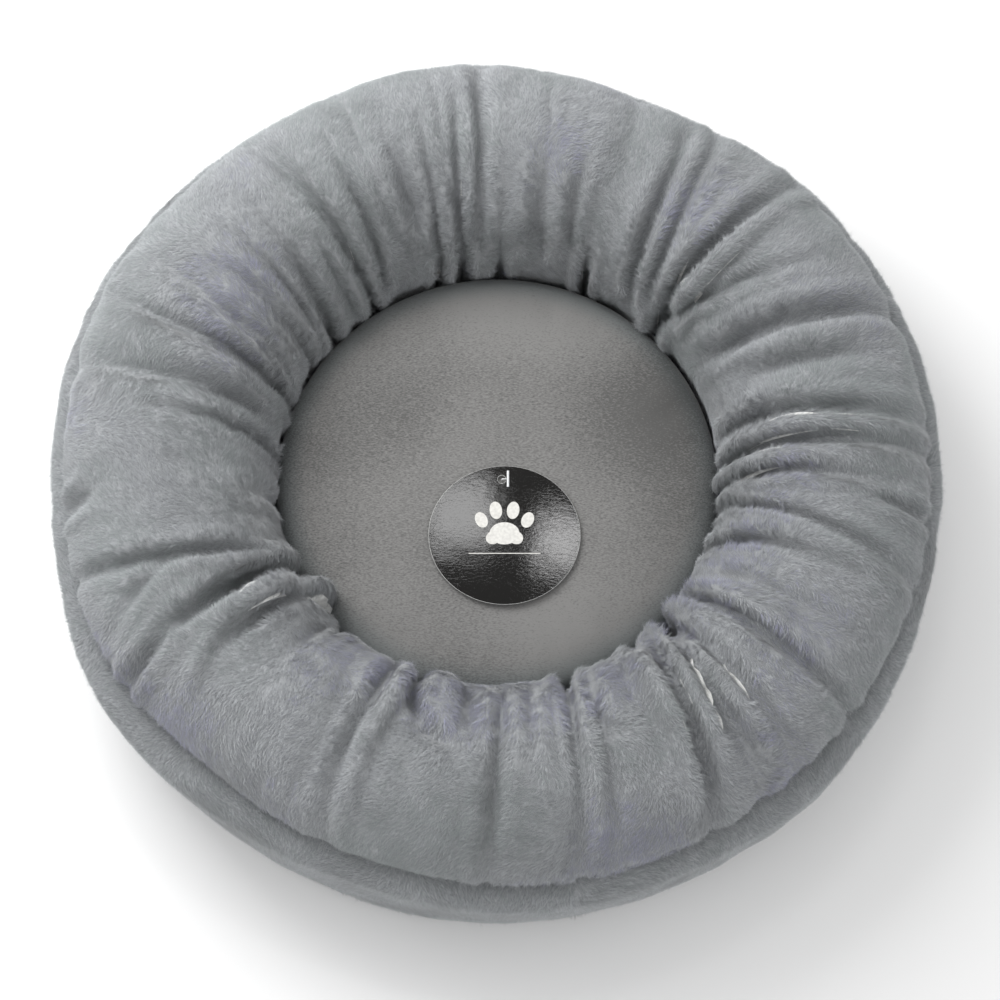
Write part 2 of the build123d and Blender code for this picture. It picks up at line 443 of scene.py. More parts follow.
def fibre():
    """White polyester fibre: soft cloudy strands."""
    material = new_material("polyester_fibre", (0.85, 0.85, 0.83), 0.95, Sheen_Weight=0.5)
    links = material.node_tree.links
    shader = material.node_tree.nodes["Principled BSDF"]
    place = add_node(material, "ShaderNodeTexCoord")
    strands = add_node(material, "ShaderNodeTexNoise", Scale=120.0, Detail=6.0, Distortion=2.0)
    ramp = add_node(material, "ShaderNodeValToRGB")
    ramp.color_ramp.elements[0].position = 0.3
    ramp.color_ramp.elements[0].color = (0.62, 0.62, 0.60, 1)
    ramp.color_ramp.elements[1].position = 0.7
    ramp.color_ramp.elements[1].color = (0.92, 0.92, 0.90, 1)
    bump = add_node(material, "ShaderNodeBump", Strength=0.7, Distance=1.5 * MM)
    links.new(place.outputs["Object"], strands.inputs["Vector"])
    links.new(strands.outputs["Fac"], ramp.inputs["Fac"])
    links.new(strands.outputs["Fac"], bump.inputs["Height"])
    links.new(ramp.outputs["Color"], shader.inputs["Base Color"])
    links.new(bump.outputs["Normal"], shader.inputs["Normal"])
    return material


def plastic():
    """Clear milky nylon of the tag's fastener."""
    return speckled("milky_nylon", (0.72, 0.73, 0.74), (0.84, 0.85, 0.86), 500.0, 0.3, 0.03 * MM)


def speckled(name, dark, light, scale, roughness, depth, **more):
    """A fine mottled surface, for thread, elastic, plastic, card and the base fabric."""
    material = new_material(name, light, roughness, **more)
    links = material.node_tree.links
    shader = material.node_tree.nodes["Principled BSDF"]
    place = add_node(material, "ShaderNodeTexCoord")
    mottle = add_node(material, "ShaderNodeTexNoise", Scale=scale, Detail=4.0)
    ramp = add_node(material, "ShaderNodeValToRGB")
    ramp.color_ramp.elements[0].position = 0.35
    ramp.color_ramp.elements[0].color = (*dark, 1)
    ramp.color_ramp.elements[1].position = 0.65
    ramp.color_ramp.elements[1].color = (*light, 1)
    bump = add_node(material, "ShaderNodeBump", Strength=0.5, Distance=depth)
    links.new(place.outputs["Object"], mottle.inputs["Vector"])
    links.new(mottle.outputs["Fac"], ramp.inputs["Fac"])
    links.new(mottle.outputs["Fac"], bump.inputs["Height"])
    links.new(ramp.outputs["Color"], shader.inputs["Base Color"])
    links.new(bump.outputs["Normal"], shader.inputs["Normal"])
    return material


def base_cloth():
    """Black woven base fabric with raised non-slip dots."""
    material = woven("non_slip_cloth", (0.02, 0.02, 0.022), (0.05, 0.05, 0.053), 300.0, 0.2 * MM)
    links = material.node_tree.links
    shader = material.node_tree.nodes["Principled BSDF"]
    place = add_node(material, "ShaderNodeTexCoord")
    dots = add_node(material, "ShaderNodeTexVoronoi", Scale=110.0, Randomness=0.0)
    shape = add_node(material, "ShaderNodeMapRange")
    shape.inputs["From Min"].default_value = 0.28
    shape.inputs["From Max"].default_value = 0.20
    bump = add_node(material, "ShaderNodeBump", Strength=1.0, Distance=0.6 * MM)
    old = shader.inputs["Normal"].links[0].from_socket
    links.new(place.outputs["Object"], dots.inputs["Vector"])
    links.new(dots.outputs["Distance"], shape.inputs["Value"])
    links.new(shape.outputs[0], bump.inputs["Height"])
    links.new(old, bump.inputs["Normal"])
    links.new(bump.outputs["Normal"], shader.inputs["Normal"])
    return material


def glossy_card():
    """Black laminated card: a hard gloss with the faint orange-peel of the film."""
    material = new_material("laminated_card", colours().card, 0.04, Specular_IOR_Level=0.22)
    links = material.node_tree.links
    shader = material.node_tree.nodes["Principled BSDF"]
    place = add_node(material, "ShaderNodeTexCoord")
    lay = add_node(material, "ShaderNodeMapping")
    lay.inputs["Rotation"].default_value = (0.0, 0.0, 0.6)
    lay.inputs["Scale"].default_value = (0.45, 1.0, 1.0)
    peel = add_node(material, "ShaderNodeTexNoise", Scale=900.0, Detail=3.0, Roughness=0.7, Distortion=0.6)
    wave = add_node(material, "ShaderNodeTexNoise", Scale=60.0, Detail=2.0)
    both = add_node(material, "ShaderNodeMath", operation="MULTIPLY_ADD")
    both.inputs[1].default_value = 0.35
    bump = add_node(material, "ShaderNodeBump", Strength=1.0, Distance=0.04 * MM)
    links.new(place.outputs["Object"], lay.inputs["Vector"])
    links.new(lay.outputs["Vector"], peel.inputs["Vector"])
    links.new(place.outputs["Object"], wave.inputs["Vector"])
    links.new(peel.outputs["Fac"], both.inputs[0])
    links.new(wave.outputs["Fac"], both.inputs[2])
    links.new(both.outputs[0], bump.inputs["Height"])
    links.new(bump.outputs["Normal"], shader.inputs["Normal"])
    return material


# Shapes


def mesh_object(name, bm):
    """A new object at the origin that holds the bmesh's shape, shaded smooth."""
    mesh = bpy.data.meshes.new(name)
    bm.to_mesh(mesh)
    bm.free()
    mesh.shade_smooth()
    piece = bpy.data.objects.new(name, mesh)
    bpy.context.scene.collection.objects.link(piece)
    return piece


def spun(profile, steps):
    """A profile of (radius, height) points turned a full round; each vertex keeps its share of the way along it."""
    bm = bmesh.new()
    along = bm.verts.layers.float.new("along")
    lengths = [0.0]
    for a, b in zip(profile, profile[1:]):
        lengths.append(lengths[-1] + math.dist(a, b))
    verts = []
    for (radius, height), length in zip(profile, lengths):
        vert = bm.verts.new((radius, 0.0, height))
        vert[along] = length / lengths[-1]
        verts.append(vert)
    edges = [bm.edges.new(pair) for pair in zip(verts, verts[1:])]
    bmesh.ops.spin(
        bm,
        geom=verts + edges,
        cent=(0, 0, 0),
        axis=(0, 0, 1),
        angle=2 * math.pi,
        steps=steps,
        use_merge=True,
    )
    bmesh.ops.remove_doubles(bm, verts=bm.verts, dist=1e-6)
    bmesh.ops.recalc_face_normals(bm, faces=bm.faces)
    return bm


def even(points, count):
    """The same line with evenly spaced points."""
    points = np.array(points)
    steps = np.hypot(*np.diff(points, axis=0).T)
    along = np.concatenate([[0.0], np.cumsum(steps)])
    wanted = np.linspace(0.0, along[-1], count)
    return [(float(np.interp(w, along, points[:, 0])), float(np.interp(w, along, points[:, 1]))) for w in wanted]


def quarter(centre, across, up, start, end, count=40):
    """Part of an ellipse, from one angle to another in degrees."""
    return [
        (centre[0] + across * math.cos(a), centre[1] + up * math.sin(a))
        for a in np.radians(np.linspace(start, end, count))
    ]


def cover_profile(inset, count):
    """The top cover's line from the hem in the well, over the lip and the crown, into the outer seam."""
    crown = CROWN_HEIGHT - inset
    crown_radius = 182 * MM
    wall_height = 62 * MM
    wall_radius = WELL_RADIUS + sizes().pile_depth
    wall = [(wall_radius, HEM_HEIGHT), (wall_radius, wall_height)]
    lip = quarter((crown_radius, wall_height), crown_radius - wall_radius, crown - wall_height, 180, 90)
    edge = SEAM_RADIUS + 2 * MM
    reach = edge - crown_radius
    shoulder = quarter((crown_radius, SEAM_HEIGHT), reach, crown - SEAM_HEIGHT, 90, 6)
    tuck = [(edge - 4 * MM, SEAM_HEIGHT - 1.0 * MM)]
    return even(wall + lip[1:] + shoulder[1:] + tuck, count)


def band_profile(inset, count):
    """The side band's line from the outer seam, out over its roll and down to the base."""
    top, foot = SEAM_HEIGHT - 1.0 * MM, BASE_HEIGHT + 1.0 * MM
    inner = SEAM_RADIUS - 5 * MM
    outer = BED_RADIUS + 0.5 * MM - inset
    roll_height = SEAM_HEIGHT - 15 * MM
    foot_radius = SEAM_RADIUS - 2 * MM
    roll = quarter((inner, roll_height), outer - inner, top - roll_height, 90, 0)
    side = []
    for turn in np.radians(np.linspace(0, 90, 40)):
        side.append((foot_radius + (outer - foot_radius) * math.cos(turn) ** 0.5, roll_height - (roll_height - foot) * math.sin(turn)))
    return even(roll + side[1:], count)


def smoothstep(low, high, x):
    """0 below low, 1 above high and smooth between."""
    t = np.clip((x - low) / (high - low), 0.0, 1.0)
    return t * t * (3 - 2 * t)


def turned(angle):
    """An angle brought into the half turn either side of zero."""
    return (angle + np.pi) % (2 * np.pi) - np.pi


def crease_lines(places, along, rows, sharp):
    """How much each row's line weighs at each place: its depth on the line, fading to each side and at open ends."""
    angle = np.arctan2(places[:, 1], places[:, 0])
    radius = np.hypot(places[:, 0], places[:, 1])
    length = 230.0
    total = np.zeros(len(places))
    for start, near, end, far, depth, width in rows:
        middle = math.radians((start + end) / 2)
        mean = (160.0 + 75.0 * ((near + far) / 2 - 0.3)) / 1000
        across = turned(angle - middle) * (0.5 * radius + 0.5 * mean) / MM
        along_mm = along * length
        a = np.array([math.radians(start - end) / 2 * mean / MM, near * length])
        b = np.array([-math.radians(start - end) / 2 * mean / MM, far * length])
        run = b - a
        share = np.clip(((across - a[0]) * run[0] + (along_mm - a[1]) * run[1]) / (run @ run), 0, 1)
        away = np.hypot(across - a[0] - share * run[0], along_mm - a[1] - share * run[1]) / width
        open_end = 1.3 - 0.3 * smoothstep(0.15, 0.42, along) if near == 0 else smoothstep(-0.08, 0.22, share)
        fade = open_end * (1 - 0.75 * smoothstep(0.55, 1.0, share))
        line = np.exp(-away * 1.1) if sharp else np.exp(-(away**2))
        shoulder = 0.28 * np.exp(-(((away - 2.3) / 1.1) ** 2)) if sharp else 0.0
        total += depth * fade * (line - shoulder)
    return total * MM


def creases(places, along):
    """How far the creases and rolls move the cover out of its smooth shape; the hem stays round on its elastic."""
    depth = crease_lines(places, along, RIDGES, False) - crease_lines(places, along, CREASES, True)
    return depth * sizes().crease_depth * smoothstep(0.04, 0.15, along)


def lobes(places, along):
    """How far the lip puffs out between one crevice and the next."""
    angle = np.degrees(np.arctan2(places[:, 1], places[:, 0])) % 360
    crevices = sorted(row[0] % 360 for row in CREASES if row[1] == 0 and row[4] > 5)
    crevices = [crevices[-1] - 360, *crevices, crevices[0] + 360]
    puff = np.zeros(len(places))
    for low, high in zip(crevices, crevices[1:]):
        inside = (angle >= low) & (angle < high)
        share = np.clip((angle[inside] - low) / (high - low), 0, 1)
        puff[inside] = min(2.0, 0.15 * (high - low)) * np.sin(np.pi * share) ** 0.7
    return puff * MM * smoothstep(0.16, 0.32, along) * (1 - smoothstep(0.40, 0.75, along))


def swell(angle, rows=PLAN_SWELLS):
    """How far the plan leaves the true circle."""
    total = np.zeros_like(angle)
    for at, size, reach in rows:
        total += size * MM * np.exp(-((turned(angle - math.radians(at)) / math.radians(reach)) ** 2))
    return total


def read_points(piece, name="co"):
    """Places or normals of a piece's vertices."""
    values = np.zeros(len(piece.data.vertices) * 3)
    piece.data.vertices.foreach_get(name, values)
    return values.reshape(-1, 3)


def write_points(piece, places):
    """Moves a piece's vertices to these places."""
    piece.data.vertices.foreach_set("co", places.ravel())
    piece.data.update()


def lumps(places, scale, seed):
    """Smooth noise between -1 and 1 at each place."""
    shift = Vector((seed * 3.7, seed * 1.3, seed * 7.1))
    return np.array([noise.noise(Vector(p) * scale + shift) for p in places])


def gathers(places, along, fine, coarse, seed):
    """Noise drawn out along the bolster's section, as gathered cloth puckers."""
    angle = np.arctan2(places[:, 1], places[:, 0])
    spread = np.stack([np.cos(angle) * fine, np.sin(angle) * fine, along * coarse], 1)
    return lumps(spread, 1.0, seed)


def read_along(piece):
    """Each vertex's share of the way along its section."""
    along = np.zeros(len(piece.data.vertices), np.float32)
    piece.data.attributes["along"].data.foreach_get("value", along)
    return along.astype(float)


def lean(places, share, seam_share):
    """Moves places outward where the plan swells, and inward where the seam is drawn in."""
    angle = np.arctan2(places[:, 1], places[:, 0])
    outward = np.stack([np.cos(angle), np.sin(angle), 0 * angle], 1)
    return places + outward * (swell(angle) * share + swell(angle, SEAM_PULLS) * seam_share)[:, None]


def shape_bolster(piece, depth):
    """Presses the creases into the smooth ring and makes its plan a little uneven."""
    places, normals, along = read_points(piece), read_points(piece, "normal"), read_along(piece)
    middle = np.sin(np.pi * np.clip(along, 0, 1))
    height = depth * creases(places, along) + lobes(places, along) + 2.0 * MM * lumps(places, 20.0, 1) * middle
    height += 2.2 * MM * gathers(places, along, 11.0, 2.2, 6) * middle * (1 - 0.5 * along)
    places = places + normals * height[:, None]
    write_points(piece, lean(places, smoothstep(0.3, 0.9, along), smoothstep(0.6, 0.97, along)))


def crumple(piece, depth):
    """Sharpens the creases of a gathered cover and adds its smallest puckers."""
    places, normals, along = read_points(piece), read_points(piece, "normal"), read_along(piece)
    middle = np.sin(np.pi * np.clip(along, 0, 1)) ** 0.5
    height = depth * creases(places, along)
    height += 0.8 * MM * gathers(places, along, 26.0, 3.0, 9) * middle * (0.4 + 0.6 * along)
    height += 0.35 * MM * gathers(places, along, 55.0, 8.0, 10) * middle
    height += 0.5 * MM * lumps(places, 70.0, 2) * middle
    write_points(piece, places + normals * height[:, None])


def shape_band(piece):
    """Puffs the side band unevenly and follows the plan."""
    places, normals, along = read_points(piece), read_points(piece, "normal"), read_along(piece)
    middle = np.sin(np.pi * np.clip(along, 0, 1))
    height = 1.6 * MM * lumps(places, 16.0, 3) + 0.9 * MM * lumps(places * [1, 1, 0.4], 45.0, 4)
    height -= 2.2 * MM * smoothstep(0.25, 0.7, gathers(places, along, 9.0, 1.2, 12)) * (1 - along)
    places = places + normals * (height * middle)[:, None]
    write_points(piece, lean(places, 1 - smoothstep(0.4, 1.0, along), 1 - smoothstep(0.0, 0.1, along)))


def simulate(piece, slack, pressure, cap, frames=22):
    """Lets the cover swell and pucker as cloth held at its hem and seam, and keeps the result."""
    start, along = read_points(piece), read_along(piece)
    held = piece.vertex_groups.new(name="held")
    held.add([int(i) for i in np.nonzero((along > 0.985) | (along < 0.02))[0]], 1.0, "REPLACE")
    loose = piece.vertex_groups.new(name="loose")
    for index, share in enumerate(1 - smoothstep(0.45, 1.0, along)):
        loose.add([index], float(share), "REPLACE")
    cloth = piece.modifiers.new("cloth", "CLOTH")
    settings = cloth.settings
    settings.quality = 5
    settings.mass = 0.002
    settings.tension_stiffness = settings.compression_stiffness = 5
    settings.shear_stiffness = 1
    settings.bending_stiffness = 0.005
    settings.tension_damping = settings.compression_damping = settings.shear_damping = 1
    settings.bending_damping = 0.05
    settings.use_pressure = True
    settings.uniform_pressure_force = pressure
    settings.vertex_group_mass = "held"
    settings.vertex_group_shrink = "loose"
    settings.shrink_max = -slack
    settings.effector_weights.gravity = 0
    cloth.collision_settings.use_collision = False
    cloth.point_cache.frame_end = frames
    for number in range(1, frames + 1):
        bpy.context.scene.frame_set(number)
    shown = piece.evaluated_get(bpy.context.evaluated_depsgraph_get())
    places = np.zeros(len(shown.data.vertices) * 3)
    shown.data.vertices.foreach_get("co", places)
    piece.modifiers.remove(cloth)
    piece.vertex_groups.clear()
    bpy.context.scene.frame_set(1)
    move = places.reshape(-1, 3) - start
    far = np.linalg.norm(move, axis=1)
    share = np.minimum(1, cap / np.maximum(far, 1e-9)) * smoothstep(0.10, 0.26, along)
    write_points(piece, start + move * share[:, None])


def subdivided(piece):
    """The same piece with its mesh subdivided once."""
    name = piece.name
    modifier = piece.modifiers.new("finer", "SUBSURF")
    modifier.levels = modifier.render_levels = 1
    shown = piece.evaluated_get(bpy.context.evaluated_depsgraph_get())
    mesh = bpy.data.meshes.new_from_object(shown)
    bpy.data.objects.remove(piece)
    finer = bpy.data.objects.new(name, mesh)
    bpy.context.scene.collection.objects.link(finer)
    return finer


def ring(bm, place, turn, radius, sides):
    """A circle of edges at a place, facing along a turn."""
    made = bmesh.ops.create_circle(bm, segments=sides, radius=radius, matrix=Matrix.Translation(place) @ turn.to_matrix().to_4x4())
    return list({edge for vert in made["verts"] for edge in vert.link_edges})


def pipe(name, points, radius, sides=10):
    """A round cord along a line of points, closed at its ends."""
    bm = bmesh.new()
    rings = []
    for index, point in enumerate(points):
        ahead = Vector(points[min(index + 1, len(points) - 1)]) - Vector(points[max(index - 1, 0)])
        rings.append(ring(bm, Vector(point), ahead.to_track_quat("Z", "X"), radius, sides))
    for a, b in zip(rings, rings[1:]):
        bmesh.ops.bridge_loops(bm, edges=a + b)
    for end in (rings[0], rings[-1]):
        bmesh.ops.edgeloop_fill(bm, edges=end)
    bmesh.ops.recalc_face_normals(bm, faces=bm.faces)
    return mesh_object(name, bm)


def bridged(covers, name, inset):
    """A closed body a little inside open covers that meet at their rims."""
    bm = bmesh.new()
    for cover in covers:
        bm.from_mesh(cover.data)
        bpy.data.objects.remove(cover)
    rims = [edge for edge in bm.edges if edge.is_boundary]
    loops = edge_loops(rims)
    loops.sort(key=lambda loop: (round(loop[0].verts[0].co.z, 2), loop[0].verts[0].co.xy.length))
    for pair in zip(loops[0::2], loops[1::2]):
        bmesh.ops.bridge_loops(bm, edges=pair[0] + pair[1])
    bmesh.ops.recalc_face_normals(bm, faces=bm.faces)
    bm.normal_update()
    inward = [(vert, vert.normal.copy()) for vert in bm.verts]
    for vert, normal in inward:
        vert.co -= normal * inset
    return mesh_object(name, bm)


def edge_loops(edges):
    """Boundary edges sorted into connected loops."""
    left = set(edges)
    loops = []
    while left:
        grown = [left.pop()]
        loop = list(grown)
        while grown:
            edge = grown.pop()
            near = [e for vert in edge.verts for e in vert.link_edges if e in left]
            for e in near:
                left.discard(e)
            grown += near
            loop += near
        loops.append(loop)
    return loops


def comb(piece, seed, bare_from, bare_to, middle=1.5, spread=4.5):
    """Stores the lie of the pile and its closeness on a cover: outward near the seam, wandering elsewhere."""
    places, normals, along = read_points(piece), read_points(piece, "normal"), read_along(piece)
    angle = np.arctan2(places[:, 1], places[:, 0])
    wander = 2.8 * lumps(places, 14.0, seed) + 1.1 * lumps(places, 60.0, seed + 1)
    turn = angle + wander * (1 - 0.6 * smoothstep(0.75, 1.0, along))
    lie = np.stack([np.cos(turn), np.sin(turn), -0.3 + 0 * turn], 1)
    lie -= normals * np.sum(lie * normals, axis=1)[:, None]
    lie /= np.maximum(np.linalg.norm(lie, axis=1), 1e-6)[:, None]
    nap = piece.data.attributes.new("nap", "FLOAT_VECTOR", "POINT")
    nap.data.foreach_set("vector", lie.astype(np.float32).ravel())
    tone = middle + spread * lumps(places, 17.0, seed + 2)
    # Three patches on the near side, near the top of the lip, are pushed towards the bluer and lavender tones.
    for at, reach, near, far in ((-84, 27, 0.46, 0.13), (-32, 20, 0.48, 0.12), (-122, 12, 0.45, 0.12)):
        close_to = np.exp(-((turned(angle - math.radians(at)) / math.radians(reach)) ** 2) - ((along - near) / far) ** 2)
        tone += 0.95 * spread * close_to
    attribute = piece.data.attributes.new("tone", "FLOAT", "POINT")
    attribute.data.foreach_set("value", tone.astype(np.float32))
    close = smoothstep(*bare_from, along) * (1 - smoothstep(*bare_to, along))
    pile = piece.data.attributes.new("pile", "FLOAT", "POINT")
    pile.data.foreach_set("value", close.astype(np.float32))


# Pile


def tuft(name, materials, seed, blades=14):
    """A small clump of fine tapered fibres that lean the same way."""
    draw = random.Random(seed)
    length = sizes().pile_length
    bm = bmesh.new()
    for _ in range(blades):
        reach = length * draw.uniform(0.7, 1.15)
        rise = length * draw.uniform(0.18, 0.42)
        side = draw.uniform(-0.5, 0.5)
        scale = Matrix.Diagonal((reach, 0.15 * MM * draw.uniform(0.8, 1.3), 1.0, 1.0))
        made = bmesh.ops.create_circle(bm, cap_ends=True, segments=3, radius=1.0, matrix=Matrix())["verts"]
        tip = max(made, key=lambda vert: vert.co.y)
        root = Vector((draw.uniform(-1.9, 1.9) * MM, draw.uniform(-1.9, 1.9) * MM, -0.5 * MM))
        sides = [vert for vert in made if vert is not tip]
        for vert, across in zip(sides, (-1, 1)):
            vert.co = root + scale @ Vector((0, across, 0))
        tip.co = root + Vector((reach, side * reach, rise))
    # Half of the fibres take the tuft's tone, a quarter the painted shade and a quarter the painted highlight.
    for index, face in enumerate(bm.faces):
        face.material_index = (0, 1, 0, 2)[index % 4]
    piece = mesh_object(name, bm)
    for each in materials:
        piece.data.materials.append(each)
    return piece


def tuft_kinds():
    """One tuft for each tone of fibre, in a collection of their own."""
    kinds = bpy.data.collections.new("tufts")
    # shade is the painted shade fibre and tip the painted highlight fibre.
    *tones, shade, tip = pile_materials()
    for index, material in enumerate(tones):
        piece = tuft(f"tuft_{index}", (material, shade, tip), 11 + index)
        bpy.context.scene.collection.objects.unlink(piece)
        kinds.objects.link(piece)
    return kinds


def pile_nodes(kinds, seed):
    """Geometry nodes that stand a tuft at each of many points of a cover, laid along its nap."""
    group = bpy.data.node_groups.new("grow_pile", "GeometryNodeTree")
    group.interface.new_socket("Geometry", in_out="INPUT", socket_type="NodeSocketGeometry")
    group.interface.new_socket("Geometry", in_out="OUTPUT", socket_type="NodeSocketGeometry")
    nodes, links = group.nodes, group.links

    def attribute(name, kind):
        node = nodes.new("GeometryNodeInputNamedAttribute")
        node.data_type = kind
        node.inputs["Name"].default_value = name
        return node.outputs["Attribute"]

    def maths(operation, a, b):
        node = nodes.new("ShaderNodeMath")
        node.operation = operation
        for socket, value in zip(node.inputs, (a, b)):
            if isinstance(value, (int, float)):
                socket.default_value = value
            else:
                links.new(value, socket)
        return node.outputs[0]

    def chance(low, high, salt, kind="FLOAT"):
        node = nodes.new("FunctionNodeRandomValue")
        node.data_type = kind
        place = 0 if kind == "FLOAT_VECTOR" else 2
        node.inputs[place].default_value = low
        node.inputs[place + 1].default_value = high
        node.inputs["Seed"].default_value = salt
        return node.outputs[0 if kind == "FLOAT_VECTOR" else 1]

    source = nodes.new("NodeGroupInput")
    out = nodes.new("NodeGroupOutput")
    scatter = nodes.new("GeometryNodeDistributePointsOnFaces")
    scatter.inputs["Seed"].default_value = seed
    links.new(source.outputs[0], scatter.inputs["Mesh"])
    links.new(maths("MULTIPLY", attribute("pile", "FLOAT"), sizes().pile_density), scatter.inputs["Density"])

    upright = nodes.new("FunctionNodeAlignRotationToVector")
    upright.axis = "Z"
    links.new(scatter.outputs["Normal"], upright.inputs["Vector"])
    stray = nodes.new("ShaderNodeVectorMath")
    links.new(attribute("nap", "FLOAT_VECTOR"), stray.inputs[0])
    links.new(chance((-0.42,) * 3, (0.42,) * 3, 3, "FLOAT_VECTOR"), stray.inputs[1])
    laid = nodes.new("FunctionNodeAlignRotationToVector")
    laid.axis = "X"
    laid.pivot_axis = "Z"
    links.new(upright.outputs[0], laid.inputs["Rotation"])
    links.new(stray.outputs[0], laid.inputs["Vector"])

    tone = maths("ADD", attribute("tone", "FLOAT"), chance(-1.3, 1.3, 5))
    tone = maths("MINIMUM", maths("MAXIMUM", maths("FLOOR", tone, 0.0), 0.0), 4.0)

    info = nodes.new("GeometryNodeCollectionInfo")
    info.inputs["Collection"].default_value = kinds
    info.inputs["Separate Children"].default_value = True
    stand = nodes.new("GeometryNodeInstanceOnPoints")
    stand.inputs["Pick Instance"].default_value = True
    links.new(scatter.outputs["Points"], stand.inputs["Points"])
    links.new(info.outputs[0], stand.inputs["Instance"])
    links.new(tone, stand.inputs["Instance Index"])
    links.new(laid.outputs[0], stand.inputs["Rotation"])
    links.new(chance(0.75, 1.2, 8), stand.inputs["Scale"])
    real = nodes.new("GeometryNodeRealizeInstances")
    links.new(stand.outputs[0], real.inputs[0])
    links.new(real.outputs[0], out.inputs[0])
    return group


def sector_of(cover, index, count):
    """The part of a cover between two angles, as an object of its own."""
    bm = bmesh.new()
    bm.from_mesh(cover.data)
    wanted = []
    for face in bm.faces:
        centre = face.calc_center_median()
        turn = (math.atan2(centre.y, centre.x) / (2 * math.pi)) % 1.0
        if int(turn * count) != index:
            wanted.append(face)
    bmesh.ops.delete(bm, geom=wanted, context="FACES")
    return mesh_object("sector", bm)


def grow_pile(cover, name, count, kinds, seed):
    """Plush pile on a cover, in a few pieces that lie side by side round the bed."""
    for index in range(count):
        ground = sector_of(cover, index, count)
        modifier = ground.modifiers.new("pile", "NODES")
        modifier.node_group = pile_nodes(kinds, seed + index)
        shown = ground.evaluated_get(bpy.context.evaluated_depsgraph_get())
        mesh = bpy.data.meshes.new_from_object(shown)
        mesh.name = f"{name}_{index + 1}"
        piece = bpy.data.objects.new(mesh.name, mesh)
        bpy.context.scene.collection.objects.link(piece)
        bpy.data.objects.remove(ground)
        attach(piece, "bed")


class PETBED_OT_bolster(bpy.types.Operator):
    """Make the gathered plush cover of the ring bolster"""

    bl_idname = "pet_bed.bolster"
    bl_label = "Bolster cover"

    def execute(self, context):
        cover = mesh_object("bolster_cover", spun(cover_profile(sizes().pile_depth + 3 * MM, 46), sizes().steps))
        shape_bolster(cover, 0.9)
        simulate(cover, slack=0.35, pressure=4.0, cap=4.5 * MM)
        cover = subdivided(cover)
        crumple(cover, 0.6)
        comb(cover, 5, (0.0, 0.12), (0.985, 1.0))
        cover.data.materials.append(plush_weave())
        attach(cover, "bed")
        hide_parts("top_cover")
        return {"FINISHED"}


class PETBED_OT_side_band(bpy.types.Operator):
    """Make the puffed plush side band"""

    bl_idname = "pet_bed.side_band"
    bl_label = "Side band"

    def execute(self, context):
        band = mesh_object("side_band_cover", spun(band_profile(sizes().pile_depth, 40), 2 * sizes().steps))
        shape_band(band)
        comb(band, 8, (0.0, 0.012), (0.90, 0.96), middle=1.3, spread=0.6)
        band.data.materials.append(plush_weave())
        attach(band, "bed")
        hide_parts("side_band")
        return {"FINISHED"}


class PETBED_OT_filling(bpy.types.Operator):
    """Make the fibre filling of the bolster and the wadding of the base"""

    bl_idname = "pet_bed.filling"
    bl_label = "Filling and wadding"

    def execute(self, context):
        cover = mesh_object("cover", spun(cover_profile(sizes().pile_depth + 3 * MM, 46), sizes().steps))
        shape_bolster(cover, 1.7)
        band = mesh_object("band", spun(band_profile(sizes().pile_depth, 20), sizes().steps))
        shape_band(band)
        filling = bridged([cover, band], "bolster_fibre", 10.0 * MM)
        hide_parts("bolster_filling")
        low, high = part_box("base_wadding")
        line = [(0.5 * MM, low.z), (high.x - 4 * MM, low.z)]
        line += quarter((high.x - 5 * MM, (low.z + high.z) / 2), 5 * MM, (high.z - low.z) / 2, -90, 90, 12)
        line += [(WELL_RADIUS, high.z), (0.5 * MM, high.z)]
        wadding = mesh_object("base_fibre_pad", spun(line, 180))
        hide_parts("base_wadding")
        for piece, fill in ((filling, 0.8), (wadding, 0.4)):
            piece.data.materials.append(fibre())
            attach(piece, "bed")
        return {"FINISHED"}


class PETBED_OT_seams(bpy.types.Operator):
    """Make the lines of stitching in the outer seam and the base seam"""

    bl_idname = "pet_bed.seams"
    bl_label = "Seam stitching"

    def execute(self, context):
        thread = speckled("seam_thread", (0.10, 0.105, 0.11), (0.22, 0.225, 0.235), 1400.0, 0.7, 0.1 * MM)
        rows = (
            ("outer_seam_thread", "outer_seam_stitching", SEAM_RADIUS - 3.6 * MM, SEAM_HEIGHT - 0.4 * MM, 1.0),
            ("base_seam_thread", "base_seam_stitching", SEAM_RADIUS - 1.6 * MM, BASE_HEIGHT + 0.4 * MM, 0.0),
        )
        for name, node, radius, height, share in rows:
            line = []
            for turn in np.radians(np.arange(0, 361, 1.0)):
                reach = radius + (swell(turn) + swell(turn, SEAM_PULLS)) * share + 0.25 * MM * math.sin(180 * turn)
                line.append((reach * math.cos(turn), reach * math.sin(turn), height))
            seam = pipe(name, line, 0.5 * MM, 6)
            seam.data.materials.append(thread)
            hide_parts(node)
            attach(seam, "bed")
        return {"FINISHED"}


class PETBED_OT_pile(bpy.types.Operator):
    """Grow the long plush pile on the bolster and the side band"""

    bl_idname = "pet_bed.pile"
    bl_label = "Plush pile"

    def execute(self, context):
        kinds = tuft_kinds()
        grow_pile(bpy.data.objects["bolster_cover"], "bolster_pile", 6, kinds, 21)
        grow_pile(bpy.data.objects["side_band_cover"], "band_pile", 3, kinds, 41)
        for piece in list(kinds.objects):
            bpy.data.objects.remove(piece)
        bpy.data.collections.remove(kinds)
        return {"FINISHED"}


